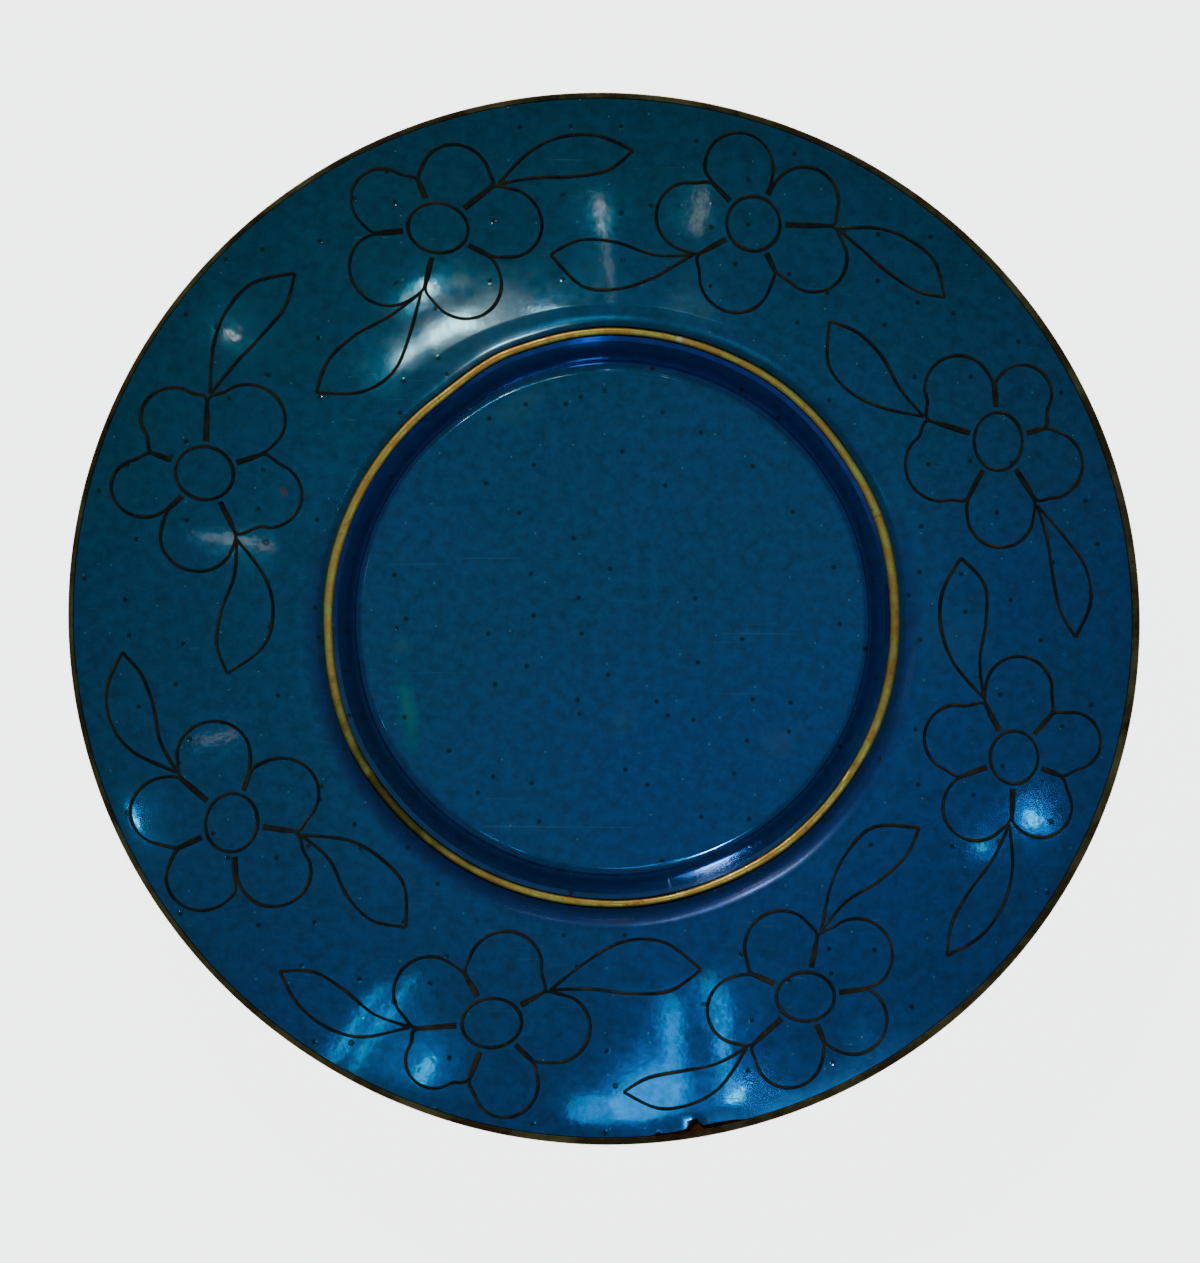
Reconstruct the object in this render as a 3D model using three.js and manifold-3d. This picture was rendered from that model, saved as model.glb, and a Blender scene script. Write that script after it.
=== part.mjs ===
// A small cloisonne trinket dish: a spun copper body with a sunk well, a wide sloping rim and a low
// foot, enamelled on both sides. A brass ring sits on the ridge round the well, and eight flower
// sprays of bent wire lie on the rim. Millimetres, +Z up, the foot on z = 0, the dish centred on Z.
import * as THREE from 'three';
import { mergeVertices } from 'three/addons/utils/BufferGeometryUtils.js';
import Module from 'manifold-3d';

const wasm = await Module();
wasm.setup();

// Radii of the dish, and how far its lines lie from them
const ringRadius = 27.6; // middle line of the brass ring
const rimRadius = 51; // outer edge
const wallWidth = 3.6; // from the ring in to the edge of the well's flat floor
const wallFoot = 1.4; // from the ring in to where the line of the well's wall meets the floor
const flankWidth = 2.7; // from the ring out to the lowest line of the rim
const footInset = 1.8; // from the edge of the well's floor in to the outside of the foot
const wellRadius = ringRadius - wallWidth;
const wallRadius = ringRadius - wallFoot;
const valleyRadius = ringRadius + flankWidth;
const footRadius = wellRadius - footInset;

// Heights of the copper's upper face above the table
const floorHeight = 2.9;
const seatHeight = 8.3; // top of the ridge, under the ring
const valleyHeight = 7.8;
const edgeHeight = 14.4;

// Walls and coats
const sheet = 0.8; // the copper
const topCoat = 0.45; // enamel that shows
const backCoat = 0.35; // enamel underneath
const clearance = 0.05; // between a coat or a wire and what it lies on

// Edge, ring and foot
const lipWidth = 0.8; // bare copper round the outer edge
const lipRise = 0.12; // how far it stands over the enamel
const ringWidth = 0.85;
const ringHeight = 0.9;
const ringCrown = 0.32; // height of the sloping part of the ring's section
const footWidth = 1.4;
const ridgeDrop = 1.12; // from the ridge's seat down to the under face behind it

// Slope of the rim where it leaves the valley, as rise over run, and how far it keeps that slope, and
// the flank its steepness, as a share of the way to the next line
const valleySlope = 0.18;
const bendShare = 0.4;

// The wires
const wireWidth = 0.33;
const wireHeight = 0.16;
const wireSpacing = 0.2; // least gap between two wires that are not one piece

// A spray is as large as the band between ring and edge is wide, or this share of the way from one
// spray to the next where that is less
const sprayShare = 0.76;

// The dish is hand made: its well is off the middle, and its outline is a little oval
const wellShift = 0.85; // towards +X
const oval = 0.01; // longer by this share along ovalBearing, shorter by it across
const ovalBearing = THREE.MathUtils.degToRad(-12);

// Fineness of the solids
const turns = 36; // facets round the dish
const wallSteps = 3; // along the curve of the well's wall
const flankSteps = 2;
const slopeSteps = 3; // along the rim
const petalSteps = 6;
const leafSteps = 5; // along each side of a leaf
const eyeSteps = 9;

const copper = { color: 0x8a5a3c, roughness: 0.45, metalness: 1 };
const brass = { color: 0xb08d3e, roughness: 0.35, metalness: 1 };
const wireMetal = { color: 0x5b4630, roughness: 0.5, metalness: 1 };
const blueEnamel = { color: 0x01425c, roughness: 0.12, metalness: 0.2 };
const backEnamel = { color: 0x0b3350, roughness: 0.25, metalness: 0 };

// The sprays, in order clockwise from the top left. Angles are in degrees, counterclockwise from +X.
// Lengths are hundredths of the spray's size, and the way out is hundredths of the band.
// at: bearing of the flower's eye round the dish, and how far out across the band.
// eye: its radius along X and along Y.
// petals: bearing and distance of the petal's middle from the eye, its radius, then the bearing and
// distance of the pinch that parts it from the next petal.
// leaves: the pinch that the leaf springs from, its heading and length, and how far its left and
// right sides stand off its middle line at a quarter, a half and three quarters of the way.
const sprays = [
  {
    at: [113, 58],
    eye: [12, 10],
    petals: [
      [154, 23, 13, 110, 21],
      [67, 21, 14, 37, 29],
      [5, 28, 14, -29, 24],
      [-67, 24, 15, -105, 26],
      [-141, 27, 15, -174, 26],
    ],
    leaves: [
      { pinch: 1, heading: 14, length: 59, left: [9, 12, 9], right: [-1, -4, -5] },
      { pinch: 3, heading: -136, length: 62, left: [9, 15, 12], right: [-2, -6, -6] },
    ],
  },
  {
    at: [70, 57],
    eye: [11, 11],
    petals: [
      [103, 23, 14, 62, 17],
      [22, 23, 14, -2, 33],
      [-30, 28, 14, -67, 22],
      [-111, 23, 15, -152, 27],
      [174, 26, 14, 135, 24],
    ],
    leaves: [
      { pinch: 1, heading: -33, length: 54, left: [9, 12, 10], right: [-2, -4, -4] },
      { pinch: 3, heading: 180, length: 60, left: [9, 14, 13], right: [0, -5, -6] },
    ],
  },
  {
    at: [25, 58],
    eye: [10, 12],
    petals: [
      [127, 27, 14, 93, 24],
      [62, 22, 12, 16, 21],
      [-25, 23, 14, -58, 29],
      [-89, 30, 14, -119, 28],
      [-158, 26, 15, 163, 31],
    ],
    leaves: [
      { pinch: 4, heading: 134, length: 57, left: [10, 15, 13], right: [-1, -5, -5] },
      { pinch: 2, heading: -74, length: 59, left: [7, 12, 10], right: [0, -2, -3] },
    ],
  },
  {
    at: [-19, 57],
    eye: [10, 11],
    petals: [
      [86, 28, 14, 49, 25],
      [16, 25, 12, -21, 22],
      [-61, 23, 13, -92, 26],
      [-127, 26, 14, -160, 25],
      [162, 25, 14, 119, 26],
    ],
    leaves: [
      { pinch: 4, heading: 99, length: 61, left: [10, 13, 10], right: [-1, -6, -8] },
      { pinch: 2, heading: -115, length: 62, left: [9, 12, 9], right: [0, -3, -4] },
    ],
  },
  {
    at: [-63, 58],
    eye: [12, 10],
    petals: [
      [118, 23, 15, 80, 26],
      [40, 27, 15, 8, 26],
      [-25, 22, 14, -66, 21],
      [-105, 24, 14, -137, 30],
      [-168, 27, 14, 158, 25],
    ],
    leaves: [
      { pinch: 0, heading: 47, length: 61, left: [10, 15, 14], right: [1, -3, -4] },
      { pinch: 3, heading: -160, length: 55, left: [11, 14, 11], right: [2, 0, -2] },
    ],
  },
  {
    at: [-106, 57],
    eye: [12, 10],
    petals: [
      [153, 29, 14, 120, 24],
      [79, 23, 15, 32, 25],
      [-5, 26, 14, -42, 24],
      [-75, 26, 13, -110, 25],
      [-147, 26, 12, -176, 31],
    ],
    leaves: [
      { pinch: 1, heading: 8, length: 64, left: [10, 16, 13], right: [-2, -6, -7] },
      { pinch: 4, heading: 156, length: 59, left: [11, 13, 9], right: [1, -3, -5] },
    ],
  },
  {
    at: [-151, 58],
    eye: [10, 12],
    petals: [
      [105, 29, 14, 73, 23],
      [32, 22, 15, -9, 26],
      [-50, 27, 14, -84, 23],
      [-115, 24, 14, -153, 23],
      [168, 25, 14, 137, 28],
    ],
    leaves: [
      { pinch: 4, heading: 113, length: 56, left: [12, 15, 11], right: [1, -2, -3] },
      { pinch: 1, heading: -42, length: 59, left: [11, 14, 12], right: [0, -6, -7] },
    ],
  },
  {
    at: [160, 57],
    eye: [11, 11],
    petals: [
      [115, 24, 13, 86, 31],
      [52, 29, 14, 20, 25],
      [-20, 25, 14, -65, 28],
      [-97, 27, 14, -133, 22],
      [-164, 24, 12, 158, 22],
    ],
    leaves: [
      { pinch: 0, heading: 55, length: 63, left: [9, 13, 11], right: [-1, -3, -4] },
      { pinch: 2, heading: -94, length: 58, left: [12, 16, 13], right: [0, -4, -5] },
    ],
  },
];

const point = (x, y) => new THREE.Vector2(x, y);
const middle = point(0, 0);

// A direction of unit length at a bearing in degrees
const towards = (degrees) => point(1, 0).rotateAround(middle, THREE.MathUtils.degToRad(degrees));

// The same line moved square to itself, to the left of its direction for a positive distance.
// At a corner it moves along the mitre, but no further than mitreLimit times the distance.
const mitreLimit = 1.8;
const foldedBack = 0.01; // a corner sharper than this cosine has no mitre
function offset(line, distance, closed = false) {
  const last = line.length - 1;
  return line.map((at, i) => {
    const before = i > 0 ? line[i - 1] : closed ? line[last] : null;
    const after = i < last ? line[i + 1] : closed ? line[0] : null;
    const square = (from, to) => {
      const along = to.clone().sub(from).normalize();
      return point(-along.y, along.x);
    };
    const first = before ? square(before, at) : square(at, after);
    const second = after ? square(at, after) : first;
    const mitre = first.clone().add(second).normalize();
    const stretch = Math.min(1 / Math.max(mitre.dot(second), foldedBack), mitreLimit);
    return at.clone().addScaledVector(mitre, distance * stretch);
  });
}

// The same line with its ends drawn out or cut back, along their own slopes, to given radii
function between(line, first, last) {
  const reach = (end, beside, radius) =>
    point(radius, THREE.MathUtils.mapLinear(radius, beside.x, end.x, beside.y, end.y));
  const [start, second] = line;
  const [beforeEnd, end] = line.slice(-2);
  return [reach(start, second, first), ...line.slice(1, -1), reach(end, beforeEnd, last)];
}

// Lines of the copper's upper face, as radius and height, from the middle out
const ringInside = ringRadius - ringWidth / 2;
const ringOutside = ringRadius + ringWidth / 2;
const lipInside = rimRadius - lipWidth;
const curve = (...points) => new THREE.QuadraticBezierCurve(...points);
const wellLine = [
  point(0, floorHeight),
  ...curve(
    point(wellRadius, floorHeight),
    point(wallRadius, floorHeight),
    point(ringInside, seatHeight),
  ).getPoints(wallSteps),
];
const flank = curve(
  point(ringOutside, seatHeight),
  point(ringOutside + (valleyRadius - ringOutside) * bendShare, valleyHeight),
  point(valleyRadius, valleyHeight),
).getPoints(flankSteps);
const slopeRun = (lipInside - valleyRadius) * bendShare;
const slope = curve(
  point(valleyRadius, valleyHeight),
  point(valleyRadius + slopeRun, valleyHeight + slopeRun * valleySlope),
  point(lipInside, edgeHeight),
).getPoints(slopeSteps);
const rimLine = [...flank, ...slope.slice(1)];

// Lines of the copper's under face, from the foot out
const ridgeBack = point(ringRadius + sheet / 2, seatHeight - ridgeDrop);
const wallBack = offset(wellLine, -sheet).slice(1, -1);
const rimBack = offset(rimLine, -sheet).slice(flankSteps);
const baseHeight = floorHeight - sheet;
const underLine = [point(footRadius, baseHeight), ...wallBack, ridgeBack, ...rimBack];

// A solid turned from a closed outline that runs clockwise, with radius to the right and height up
function turned(outline) {
  const geometry = new THREE.LatheGeometry([...outline].reverse(), turns);
  return geometry.rotateX(Math.PI / 2);
}

// The two faces of a coat on a line, the one away from the copper first. A negative thickness lies
// under the line.
function coatFaces(line, thickness) {
  const gap = Math.sign(thickness) * clearance;
  return [offset(line, thickness + gap), offset(line, gap)];
}

function bodyShape() {
  const edgeBack = rimBack[rimBack.length - 1];
  const lipTop = edgeHeight + topCoat + clearance + lipRise;
  return turned([
    ...wellLine,
    ...rimLine,
    point(lipInside, lipTop),
    point(rimRadius, lipTop),
    point(rimRadius, edgeBack.y),
    ...[...underLine].reverse(),
    point(footRadius, 0),
    point(footRadius - footWidth, 0),
    point(footRadius - footWidth, baseHeight),
    point(0, baseHeight),
  ]);
}

function ringShape() {
  const foot = seatHeight + clearance;
  const crown = foot + ringHeight;
  return turned([
    point(ringInside, foot),
    point(ringInside, crown - ringCrown),
    point(ringRadius, crown),
    point(ringOutside, crown - ringCrown),
    point(ringOutside, foot),
    point(ringInside, foot),
  ]);
}

function wellEnamelShape() {
  const [upper, lower] = coatFaces(wellLine, topCoat);
  const shoulder = point(ringInside - clearance, seatHeight + topCoat + clearance);
  return turned([...upper, shoulder, ...lower.reverse()]);
}

const [rimFace, rimUnderFace] = coatFaces(rimLine, topCoat).map((face) =>
  between(face, ringOutside + clearance, lipInside - clearance),
);

function rimEnamelShape() {
  return turned([...rimFace, ...rimUnderFace.reverse(), rimFace[0]]);
}

function backEnamelShape() {
  const [lower, upper] = coatFaces(underLine, -backCoat).map((face) =>
    between(face, footRadius + clearance, lipInside),
  );
  return turned([...upper, ...lower.reverse(), upper[0]]);
}

function baseEnamelShape() {
  const end = footRadius - footWidth - clearance;
  const [lower, upper] = coatFaces([point(0, baseHeight), point(end, baseHeight)], -backCoat);
  return turned([...upper, ...lower.reverse()]);
}

// Height of the rim enamel's upper face over a point, on the facets of the turned solid
const facet = (2 * Math.PI) / turns;
function rimHeight(x, y) {
  const bearing = Math.atan2(y, x);
  const facetBearing = (Math.floor(bearing / facet) + 0.5) * facet;
  const radius = (Math.hypot(x, y) * Math.cos(bearing - facetBearing)) / Math.cos(facet / 2);
  const next = Math.max(1, rimFace.findIndex((at) => at.x >= radius));
  const [inner, outer] = [rimFace[next - 1], rimFace[next]];
  return THREE.MathUtils.mapLinear(radius, inner.x, outer.x, inner.y, outer.y);
}

// A flat strip of wire along a line, open, or closed and running counterclockwise. A margin makes it
// wider, higher and deeper all round.
function strip(line, closed, margin = 0) {
  const half = wireWidth / 2 + margin;
  const left = offset(line, half, closed);
  const right = offset(line, -half, closed);
  const outline = new THREE.Shape(closed ? right : [...right, ...left.reverse()]);
  if (closed) outline.holes.push(new THREE.Path(left));
  const depth = wireHeight + 2 * margin;
  const geometry = new THREE.ExtrudeGeometry(outline, { depth, bevelEnabled: false });
  return geometry.translate(0, 0, -margin);
}

// A flat strip laid on the enamel
function laid(geometry) {
  const place = geometry.attributes.position;
  for (let i = 0; i < place.count; i += 1) {
    const lift = rimHeight(place.getX(i), place.getY(i)) + clearance;
    place.setZ(i, place.getZ(i) + lift);
  }
  return geometry;
}

// The same shape as a solid that can be joined and cut, and back
const samePlace = 1e-5;
function solidOf(geometry) {
  geometry.deleteAttribute('normal');
  geometry.deleteAttribute('uv');
  const merged = mergeVertices(geometry, samePlace);
  const vertProperties = merged.attributes.position.array;
  const triVerts = Uint32Array.from(merged.index.array);
  return new wasm.Manifold(new wasm.Mesh({ numProp: 3, vertProperties, triVerts }));
}

function geometryOf(solid) {
  const mesh = solid.getMesh();
  const geometry = new THREE.BufferGeometry();
  geometry.setAttribute('position', new THREE.BufferAttribute(mesh.vertProperties, 3));
  return geometry.setIndex(new THREE.BufferAttribute(mesh.triVerts, 1));
}

// The dish as the hand left it: the well off the middle, the outline slightly oval
function handMade(geometry) {
  const place = geometry.attributes.position;
  for (let i = 0; i < place.count; i += 1) {
    const at = point(place.getX(i), place.getY(i));
    const outward = (rimRadius - at.length()) / (rimRadius - valleyRadius);
    at.x += wellShift * THREE.MathUtils.clamp(outward, 0, 1);
    at.rotateAround(middle, -ovalBearing);
    at.set(at.x * (1 + oval), at.y * (1 - oval));
    at.rotateAround(middle, ovalBearing);
    place.setXY(i, at.x, at.y);
  }
  geometry.deleteAttribute('normal');
  return geometry;
}

// Sizes of the sprays, from hundredths to millimetres
const band = rimRadius - ringRadius;
const apart = (2 * Math.PI * (ringRadius + band / 2)) / sprays.length;
const hundredth = Math.min(band, apart * sprayShare) / 100;
const eyeMiddle = ({ at: [bearing, out] }) =>
  towards(bearing).multiplyScalar(ringRadius + (out / 100) * band);

// Where two petals part, outside, and where the wire between them ends beside the eye
function pinchesOf(spray) {
  return spray.petals.map(([, , , bearing, distance]) => {
    const way = towards(bearing);
    const eyeRadius = Math.hypot(way.x * spray.eye[0], way.y * spray.eye[1]) * hundredth;
    const tip = eyeRadius + wireWidth + wireSpacing;
    return {
      tip: way.clone().multiplyScalar(tip).add(eyeMiddle(spray)),
      outside: way.clone().multiplyScalar(distance * hundredth).add(eyeMiddle(spray)),
    };
  });
}

// One petal: from a pinch's tip out, round the petal, and back in to the next pinch's tip
function petalLine(spray, number, pinches) {
  const [bearing, distance, radius] = spray.petals[number];
  const heart = towards(bearing).multiplyScalar(distance * hundredth).add(eyeMiddle(spray));
  const start = pinches.at(number - 1);
  const end = pinches[number];
  const fromOutward = (at) => {
    const degrees = THREE.MathUtils.radToDeg(at.clone().sub(heart).angle()) - bearing;
    return THREE.MathUtils.euclideanModulo(degrees, 360);
  };
  const first = fromOutward(start.outside);
  const last = fromOutward(end.outside) - 360;
  const line = [start.tip, start.outside];
  for (let i = 1; i < petalSteps; i += 1) {
    const turn = THREE.MathUtils.lerp(first, last, i / petalSteps);
    line.push(towards(bearing + turn).multiplyScalar(radius * hundredth).add(heart));
  }
  return [...line, end.outside, end.tip];
}

// The five petals of one bent wire, with a margin round it where another wire has to stay clear
function flowerSolid(spray, margin = 0) {
  const pinches = pinchesOf(spray);
  const petals = spray.petals.map((petal, number) =>
    solidOf(strip(petalLine(spray, number, pinches), false, margin)),
  );
  return petals.reduce((flower, petal) => flower.add(petal));
}

function eyeShape(spray) {
  const line = [];
  for (let i = 0; i < eyeSteps; i += 1) {
    const way = towards((i * 360) / eyeSteps);
    const at = point(way.x * spray.eye[0], way.y * spray.eye[1]).multiplyScalar(hundredth);
    line.push(at.add(eyeMiddle(spray)));
  }
  return strip(line, true);
}

// A leaf is a wire bent back on itself, whose two ends stop short of the flower
function leafShape(spray, leaf) {
  const way = towards(leaf.heading);
  const base = pinchesOf(spray)[leaf.pinch].outside;
  const side = (stands) => {
    const knots = [0, ...stands, 0].map((stand, i, all) =>
      point((i / (all.length - 1)) * leaf.length, stand)
        .multiplyScalar(hundredth)
        .rotateAround(middle, way.angle()),
    );
    return new THREE.SplineCurve(knots.map((knot) => knot.add(base))).getPoints(leafSteps);
  };
  const left = side(leaf.left);
  const right = side(leaf.right);
  const loop = strip([...right.slice(0, -1), ...left.reverse().slice(0, -1)], true);
  return geometryOf(solidOf(loop).subtract(flowerSolid(spray, wireSpacing)));
}

const dish = new THREE.Group();

function addPiece(name, geometry, finish) {
  const mesh = new THREE.Mesh(handMade(geometry), new THREE.MeshStandardMaterial(finish));
  mesh.name = name;
  dish.add(mesh);
}

addPiece('metal_body', bodyShape(), copper);
addPiece('ridge_ring', ringShape(), brass);
addPiece('well_enamel', wellEnamelShape(), blueEnamel);
addPiece('rim_enamel', rimEnamelShape(), blueEnamel);
addPiece('back_enamel', backEnamelShape(), backEnamel);
addPiece('base_enamel', baseEnamelShape(), backEnamel);
sprays.forEach((spray, i) => {
  const number = i + 1;
  addPiece(`flower_wire_${number}`, laid(geometryOf(flowerSolid(spray))), wireMetal);
  addPiece(`eye_wire_${number}`, laid(eyeShape(spray)), wireMetal);
  spray.leaves.forEach((leaf, j) => {
    addPiece(`leaf_wire_${number}_${j + 1}`, laid(leafShape(spray, leaf)), wireMetal);
  });
});

export default dish;
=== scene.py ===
# %% [markdown]
# # A cloisonne trinket dish
# The real dish is spun from thin copper, has a brass ring soldered round its well, and carries eight
# flower sprays bent from flat wire. Blue glass is melted over all of it and polished. This lesson
# makes each of those pieces over the frame that gives its size and place.

# %% Frame and units
import math

import bmesh
import bpy
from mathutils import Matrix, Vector, noise


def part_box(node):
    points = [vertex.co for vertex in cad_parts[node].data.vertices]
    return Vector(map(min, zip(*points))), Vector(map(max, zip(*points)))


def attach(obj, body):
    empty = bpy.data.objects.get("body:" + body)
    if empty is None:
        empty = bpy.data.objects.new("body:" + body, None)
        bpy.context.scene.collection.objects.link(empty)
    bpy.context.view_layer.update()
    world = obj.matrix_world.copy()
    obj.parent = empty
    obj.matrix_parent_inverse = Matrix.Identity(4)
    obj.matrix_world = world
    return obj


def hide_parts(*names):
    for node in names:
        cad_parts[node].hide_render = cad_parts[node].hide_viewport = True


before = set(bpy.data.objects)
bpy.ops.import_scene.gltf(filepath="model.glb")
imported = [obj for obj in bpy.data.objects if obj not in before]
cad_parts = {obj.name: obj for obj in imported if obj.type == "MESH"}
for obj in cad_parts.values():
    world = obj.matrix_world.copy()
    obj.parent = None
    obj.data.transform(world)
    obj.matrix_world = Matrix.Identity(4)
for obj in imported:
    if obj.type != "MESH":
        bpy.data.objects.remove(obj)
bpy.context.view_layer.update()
MM = 0.001
BODY = "root"
print("pieces in the frame:", len(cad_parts))

# %% [markdown]
# ## Camera
# The dish is seen from straight above. A long lens far away keeps the well and the rim at the same
# scale, as in the photograph. Its distance follows from how much of the picture the dish fills.

# %% Camera
PICTURE_WIDTH, PICTURE_HEIGHT = 1200, 1263
RIM_MIDDLE_PIXEL = (604, 618.7)
RIM_RADIUS_PIXELS = 531.3

body_low, body_high = (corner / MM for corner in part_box("metal_body"))
rim_radius = (body_high.x - body_low.x + body_high.y - body_low.y) / 4
mm_per_pixel = rim_radius / RIM_RADIUS_PIXELS

lens = bpy.data.cameras.new("overhead_camera")
lens.lens = 250
lens.sensor_width = 36
distance = PICTURE_HEIGHT * mm_per_pixel * lens.lens / lens.sensor_width
camera = bpy.data.objects.new("overhead_camera", lens)
camera.location = (
    (PICTURE_WIDTH / 2 - RIM_MIDDLE_PIXEL[0]) * mm_per_pixel * MM,
    (RIM_MIDDLE_PIXEL[1] - PICTURE_HEIGHT / 2) * mm_per_pixel * MM,
    (distance + body_high.z) * MM,
)
bpy.context.scene.collection.objects.link(camera)
bpy.context.scene.camera = camera
print("camera distance, mm:", round(distance))

# %% [markdown]
# ## Measures taken from the frame
# The plain model is the record of where everything is. The radii and heights below are read from its
# boxes, so that the fine pieces stay on it. Walls and coats are the same real thicknesses.

# %% Measures, in millimetres
ring_low, ring_high = (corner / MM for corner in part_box("ridge_ring"))
well_low, _ = (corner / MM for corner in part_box("well_enamel"))
rim_low, _ = (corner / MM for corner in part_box("rim_enamel"))
base_low, base_high = (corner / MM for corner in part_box("base_enamel"))

SHEET = 0.8  # thickness of the copper
COAT = 0.45  # thickness of the blue glass
BACK_COAT = 0.35  # thickness of the glass below
CLEARANCE = 0.05  # between two pieces
LIP_WIDTH = 0.8  # bare copper at the edge
LIP_RISE = 0.12  # height of the lip over the glass
RING_WIDTH = 0.85
FOOT_WIDTH = 1.4
WELL_RADIUS = 24  # where the flat floor ends
WALL_RADIUS = 26.2  # where the wall's slope would meet the floor
VALLEY_RADIUS = 30.3  # the lowest circle of the rim
VALLEY_SLOPE = 0.18  # slope of the rim as it leaves that circle
ring_radius = (ring_high.x - ring_low.x + ring_high.y - ring_low.y) / 4 - RING_WIDTH / 2
well_shift = (ring_low.x + ring_high.x) / 2
seat_height = ring_low.z - CLEARANCE
floor_height = well_low.z - CLEARANCE
edge_height = body_high.z - LIP_RISE - COAT - CLEARANCE
valley_height = rim_low.z - CLEARANCE
base_height = base_high.z + CLEARANCE
foot_inside = (base_high.x - base_low.x + base_high.y - base_low.y) / 4 + CLEARANCE
foot_radius = foot_inside + FOOT_WIDTH
ring_inside = ring_radius - RING_WIDTH / 2
ring_outside = ring_radius + RING_WIDTH / 2
lip_inside = rim_radius - LIP_WIDTH
print("ring radius", round(ring_radius, 2), "edge height", round(edge_height, 2))

# %% [markdown]
# ## What the hand did to the round shape
# A turned shape is too perfect. On the real dish the well is off the middle, the outline is a little
# oval, and the ring was bent by hand, with a kink at the upper left. One function moves every point of
# every piece in the same way, so they stay together.

# %% Hand-made shape
OVAL = 0.01  # share by which one diameter is longer and the other shorter
OVAL_BEARING = math.radians(-12)
RING_BENDS = {
    0: -0.58, 30: -0.16, 60: 0.37, 90: 0.50, 110: 0.18, 128: -0.55, 145: -0.55,
    180: -0.29, 210: 0.32, 240: 0.37, 270: 0.21, 300: -0.11, 330: -0.40, 360: -0.58,
}  # how far the ring stands out, in mm, at bearings counterclockwise from +X
RIDGE_REACH = 4.5  # how far from the ring its bends have died out, in mm
LIP_COVERED = 0.35  # how much of the lip the glass covers at most, in mm
LIP_COVERED_BEARING = math.radians(155)
LIP_REACH = 12.0  # how far inwards the glass is drawn out for that, in mm
WAVES = [(0.024, 9, 0), (0.007, 3.5, 7)]  # height and length in mm, and level in the noise


def ease(share):
    """A share from 0 to 1 that starts and ends softly."""
    share = min(max(share, 0), 1)
    return share * share * (3 - 2 * share)


def ring_bend(bearing):
    """How far the hand-bent ring stands out at a bearing, in mm."""
    knots = sorted(RING_BENDS)
    degrees = math.degrees(bearing) % 360
    after = next(knot for knot in knots if knot > degrees)
    before = knots[knots.index(after) - 1]
    share = ease((degrees - before) / (after - before))
    return RING_BENDS[before] * (1 - share) + RING_BENDS[after] * share


def unevenness(x, y):
    """Slow waves of the hand-polished surface, in mm."""
    return sum(high * noise.noise(Vector((x, y, level)) / long) for high, long, level in WAVES)


def lip_cover(radius, bearing):
    """How far the glass runs out over the lip, which looks thinnest at the upper left, in mm."""
    if radius < lip_inside:
        near = ease(1 - (lip_inside - radius) / LIP_REACH)
    else:
        near = (rim_radius - radius) / LIP_WIDTH
    return LIP_COVERED * near * (1 + math.cos(bearing - LIP_COVERED_BEARING)) / 2


def by_hand(at):
    """A point in mm of the true turned shape, moved to where the hand-made dish has it."""
    x, y, z = at
    radius = math.hypot(x, y)
    bearing = math.atan2(y, x)
    near_ridge = ease(1 - abs(radius - ring_radius) / RIDGE_REACH)
    stands_out = near_ridge * ring_bend(bearing) + lip_cover(radius, bearing)
    out = 1 + stands_out / max(radius, 1)
    rim_share = (rim_radius - radius) / (rim_radius - VALLEY_RADIUS)
    x = x * out + well_shift * min(max(rim_share, 0), 1)
    y = y * out
    along = x * math.cos(OVAL_BEARING) + y * math.sin(OVAL_BEARING)
    across = y * math.cos(OVAL_BEARING) - x * math.sin(OVAL_BEARING)
    along *= 1 + OVAL
    across *= 1 - OVAL
    x = along * math.cos(OVAL_BEARING) - across * math.sin(OVAL_BEARING)
    y = along * math.sin(OVAL_BEARING) + across * math.cos(OVAL_BEARING)
    return Vector((x, y, z)) * MM


print("the ring is bent, mm:", min(RING_BENDS.values()), "to", max(RING_BENDS.values()))

# %% [markdown]
# ## The dish's outline
# Each turned piece is a closed outline of radius and height. The curves are quadratic bends, and a coat
# of glass is the copper's own line moved square to itself by the coat's thickness.

# %% Lines of the copper
FLOOR_STEPS, WALL_STEPS, FLANK_STEPS, SLOPE_STEPS = 10, 14, 8, 28
FLANK_PULL = 0.5  # where the flank bends into the rim, as a share of the flank's width
SLOPE_PULL = 0.4  # where the rim bends upwards, as a share of its width


def bend(start, pull, end, steps):
    """Points of a quadratic curve, both ends included."""
    points = []
    for i in range(steps + 1):
        t = i / steps
        parts = ((1 - t) ** 2, 2 * t * (1 - t), t * t)
        ends = zip(parts, (start, pull, end))
        points.append(sum((part * Vector(at) for part, at in ends), Vector((0, 0))))
    return points


def moved(line, distance):
    """The line moved square to itself, to the left of its direction."""
    result = []
    for i, at in enumerate(line):
        before = line[max(i - 1, 0)]
        after = line[min(i + 1, len(line) - 1)]
        along = (after - before).normalized()
        result.append(at + Vector((-along.y, along.x)) * distance)
    return result


well_line = [Vector((WELL_RADIUS * i / FLOOR_STEPS, floor_height)) for i in range(FLOOR_STEPS)]
well_line += bend(
    (WELL_RADIUS, floor_height), (WALL_RADIUS, floor_height), (ring_inside, seat_height), WALL_STEPS
)
flank_pull = ring_outside + (VALLEY_RADIUS - ring_outside) * FLANK_PULL
flank_line = bend(
    (ring_outside, seat_height), (flank_pull, valley_height), (VALLEY_RADIUS, valley_height),
    FLANK_STEPS,
)
slope_run = (lip_inside - VALLEY_RADIUS) * SLOPE_PULL
slope_ends = (
    Vector((VALLEY_RADIUS, valley_height)),
    Vector((VALLEY_RADIUS + slope_run, valley_height + slope_run * VALLEY_SLOPE)),
    Vector((lip_inside, edge_height)),
)
slope_line = bend(*slope_ends, SLOPE_STEPS)
rim_line = flank_line + slope_line[1:]


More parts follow.
